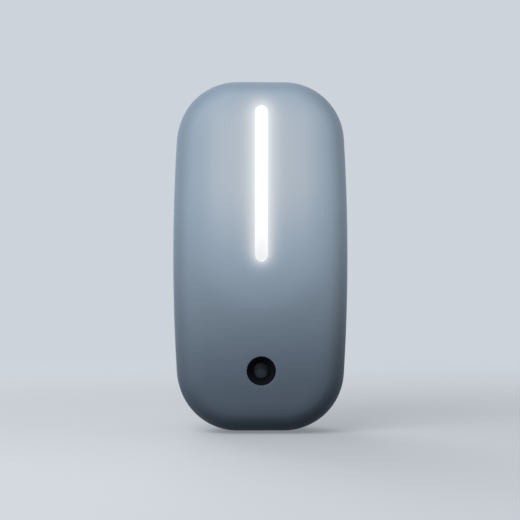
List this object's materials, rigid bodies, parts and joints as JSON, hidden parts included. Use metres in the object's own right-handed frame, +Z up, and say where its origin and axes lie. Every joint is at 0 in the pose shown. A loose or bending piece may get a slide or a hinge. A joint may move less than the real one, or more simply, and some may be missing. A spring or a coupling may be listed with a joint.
{
  "type": "plug in night light",
  "caption": "Upright plug-in night light with a lit slot, a rear glow window, a photocell and a small slide switch under it.",
  "frame": {"origin": "middle of the plug's end face, between the two pins", "axes": "+X to the right and +Z up as the light is seen from the room, +Y into the wall socket, so the lit face looks towards -Y"},
  "size_m": [0.063, 0.075, 0.125],
  "materials": {
    "cover_plastic": "fine satin moulding, cool white, lets a little light through",
    "housing_plastic": "fine satin moulding, cool white",
    "window_opal": "milky opal, lit from inside",
    "bar_opal": "milky opal light guide, brightly lit",
    "reflector_white": "bright white moulding",
    "led_board_white": "white solder mask on a thin board",
    "led_package": "white package with a yellow phosphor window",
    "screw_steel": "bright zinc plate",
    "cup_black": "black moulding",
    "photocell_resin": "smoked clear resin",
    "shroud_rubber": "soft black sleeve",
    "driver_board_green": "green solder mask",
    "film_capacitor_yellow": "glossy moulded box",
    "capacitor_sleeve": "shrunk dark blue sleeve",
    "chip_black": "black moulded package",
    "resistor_lacquer": "green lacquer over a ceramic rod",
    "varistor_blue": "dipped blue resin",
    "pin_nickel": "bright nickel plate",
    "sleeve_plastic": "smooth white sleeve",
    "lead_brown": "brown insulation",
    "lead_blue": "blue insulation",
    "lead_red": "red insulation",
    "lead_black": "black insulation",
    "lead_grey": "grey insulation",
    "switch_black": "black moulding",
    "switch_steel": "tinned steel sheet",
    "terminal_brass": "tin plate"
  },
  "bodies": {
    "light": {"front_cover": "cover_plastic", "rear_housing": "housing_plastic", "rear_window": "window_opal", "plug_body": "housing_plastic", "light_bar": "bar_opal", "light_channel": "reflector_white", "rear_reflector": "reflector_white", "led_board": "led_board_white", "front_leds": "led_package", "rear_leds": "led_package", "led_board_screws": "screw_steel", "sensor_cup": "cup_black", "photocell": "photocell_resin", "sensor_shroud": "shroud_rubber", "driver_board": "driver_board_green", "board_screws": "screw_steel", "film_capacitor": "film_capacitor_yellow", "smoothing_capacitor": "capacitor_sleeve", "bridge_rectifier": "chip_black", "driver_chip": "chip_black", "fuse_resistor": "resistor_lacquer", "surge_varistor": "varistor_blue", "chip_resistors": "chip_black", "plug_pin_left": "pin_nickel", "plug_pin_right": "pin_nickel", "pin_sleeve_left": "sleeve_plastic", "pin_sleeve_right": "sleeve_plastic", "live_lead": "lead_brown", "neutral_lead": "lead_blue", "led_lead_positive": "lead_red", "led_lead_negative": "lead_black", "switch_body": "switch_black", "switch_frame": "switch_steel", "switch_terminals": "terminal_brass", "switch_leads": "lead_grey", "housing_screws": "screw_steel"},
    "slide_switch": {"switch_knob": "switch_black"}
  },
  "joints": [
    {"name": "switch_slide", "type": "slide", "parent": "light", "child": "slide_switch", "axis": [1, 0, 0], "range_m": [-0.002, 0.002]}
  ]
}
